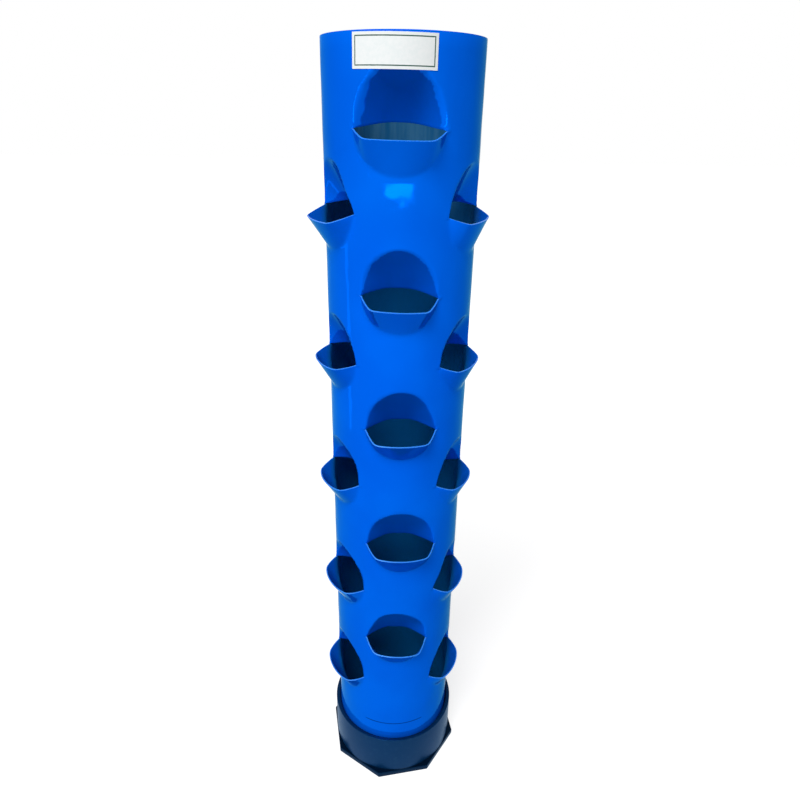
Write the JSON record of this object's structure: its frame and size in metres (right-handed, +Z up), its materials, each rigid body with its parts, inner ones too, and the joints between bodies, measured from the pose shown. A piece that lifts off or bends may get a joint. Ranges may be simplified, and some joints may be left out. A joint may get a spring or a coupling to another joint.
{
  "type": "vertical planter tower",
  "caption": "Free-standing planter tower: a heat-formed pipe with three staggered columns of open planting pockets and a plain back, standing in an octagonal-footed end cap.",
  "frame": {"origin": "on the floor, under the middle of the pipe", "axes": "+Z up along the pipe; -Y towards the front, which carries the label and the middle column of pockets; +X to the right as seen from the front"},
  "size_m": [0.1899, 0.1886, 0.9493],
  "materials": {
    "pipe": "glossy saturated blue PVC, softly rippled where it was heat-formed",
    "cap": "semi-gloss dark blue-grey moulded PVC",
    "label": "white film sticker with a thin dark green border line, otherwise bare"
  },
  "bodies": {
    "base": {"base_cap": "cap"},
    "tower": {"tower_tube": "pipe", "label": "label"}
  },
  "joints": [
    {"name": "tower_lift", "type": "slide", "parent": "base", "child": "tower", "axis": [0, 0, 1], "range_m": [0, 0.08]}
  ]
}
